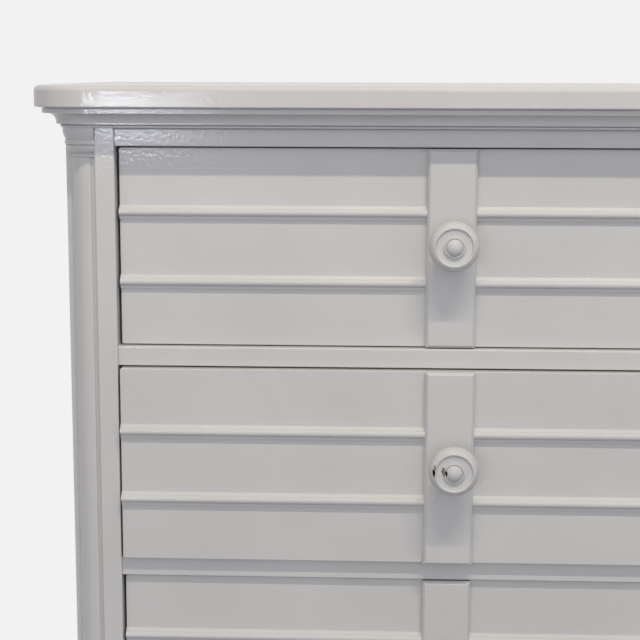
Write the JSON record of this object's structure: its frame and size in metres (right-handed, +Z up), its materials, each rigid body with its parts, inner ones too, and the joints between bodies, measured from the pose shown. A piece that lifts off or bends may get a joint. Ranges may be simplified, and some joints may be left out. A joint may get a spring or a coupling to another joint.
{
  "type": "dresser",
  "caption": "Painted wooden dresser with two columns of beaded drawers, turned quarter-column corners, a coved cornice under a rounded top, and bracket feet.",
  "frame": {"origin": "on the floor, in the middle of the overall width and of the overall depth, the depth taken with the left middle drawer ajar as in the picture", "axes": "+X to the right as the dresser is faced, +Y from the drawer fronts to the back, +Z up"},
  "size_m": [1.578, 0.51, 0.84],
  "materials": {
    "top_paint": "gloss paint",
    "case_paint": "gloss paint",
    "front_paint": "gloss paint",
    "knob_paint": "gloss paint, chipped",
    "bare_wood": "bare, planed",
    "plywood": "bare, sanded"
  },
  "bodies": {
    "case": {"back_panel": "plywood", "base_panel": "case_paint", "bottom_rail": "case_paint", "centre_partition": "bare_wood", "centre_stile": "case_paint", "drawer_guides": "bare_wood", "drawer_rails": "case_paint", "drawer_runners": "bare_wood", "drawer_stops": "bare_wood", "left_column": "case_paint", "left_post": "case_paint", "left_side_panel": "case_paint", "left_stile": "case_paint", "plinth_back": "case_paint", "plinth_front": "case_paint", "plinth_left": "case_paint", "plinth_right": "case_paint", "right_column": "case_paint", "right_post": "case_paint", "right_side_panel": "case_paint", "right_stile": "case_paint", "sub_top": "case_paint", "top_panel": "top_paint", "top_rail": "case_paint"},
    "bottom_left_drawer": {"bottom_left_drawer_back": "bare_wood", "bottom_left_drawer_bottom": "plywood", "bottom_left_drawer_front": "front_paint", "bottom_left_drawer_sides": "bare_wood", "bottom_left_drawer_strap": "front_paint", "bottom_left_knob": "knob_paint"},
    "middle_left_drawer": {"middle_left_drawer_back": "bare_wood", "middle_left_drawer_bottom": "plywood", "middle_left_drawer_front": "front_paint", "middle_left_drawer_sides": "bare_wood", "middle_left_drawer_strap": "front_paint", "middle_left_knob": "knob_paint"},
    "top_left_drawer": {"top_left_drawer_back": "bare_wood", "top_left_drawer_bottom": "plywood", "top_left_drawer_front": "front_paint", "top_left_drawer_sides": "bare_wood", "top_left_drawer_strap": "front_paint", "top_left_knob": "knob_paint"},
    "bottom_right_drawer": {"bottom_right_drawer_back": "bare_wood", "bottom_right_drawer_bottom": "plywood", "bottom_right_drawer_front": "front_paint", "bottom_right_drawer_sides": "bare_wood", "bottom_right_drawer_strap": "front_paint", "bottom_right_knob": "knob_paint"},
    "middle_right_drawer": {"middle_right_drawer_back": "bare_wood", "middle_right_drawer_bottom": "plywood", "middle_right_drawer_front": "front_paint", "middle_right_drawer_sides": "bare_wood", "middle_right_drawer_strap": "front_paint", "middle_right_knob": "knob_paint"},
    "top_right_drawer": {"top_right_drawer_back": "bare_wood", "top_right_drawer_bottom": "plywood", "top_right_drawer_front": "front_paint", "top_right_drawer_sides": "bare_wood", "top_right_drawer_strap": "front_paint", "top_right_knob": "knob_paint"}
  },
  "joints": [
    {"name": "bottom_left_slide", "type": "slide", "parent": "case", "child": "bottom_left_drawer", "axis": [0, -1, 0], "range_m": [-0.0034, 0.3266]},
    {"name": "middle_left_slide", "type": "slide", "parent": "case", "child": "middle_left_drawer", "axis": [0, -1, 0], "range_m": [-0.0175, 0.3125]},
    {"name": "top_left_slide", "type": "slide", "parent": "case", "child": "top_left_drawer", "axis": [0, -1, 0], "range_m": [0, 0.33]},
    {"name": "bottom_right_slide", "type": "slide", "parent": "case", "child": "bottom_right_drawer", "axis": [0, -1, 0], "range_m": [0, 0.33]},
    {"name": "middle_right_slide", "type": "slide", "parent": "case", "child": "middle_right_drawer", "axis": [0, -1, 0], "range_m": [0, 0.33]},
    {"name": "top_right_slide", "type": "slide", "parent": "case", "child": "top_right_drawer", "axis": [0, -1, 0], "range_m": [0, 0.33]}
  ]
}
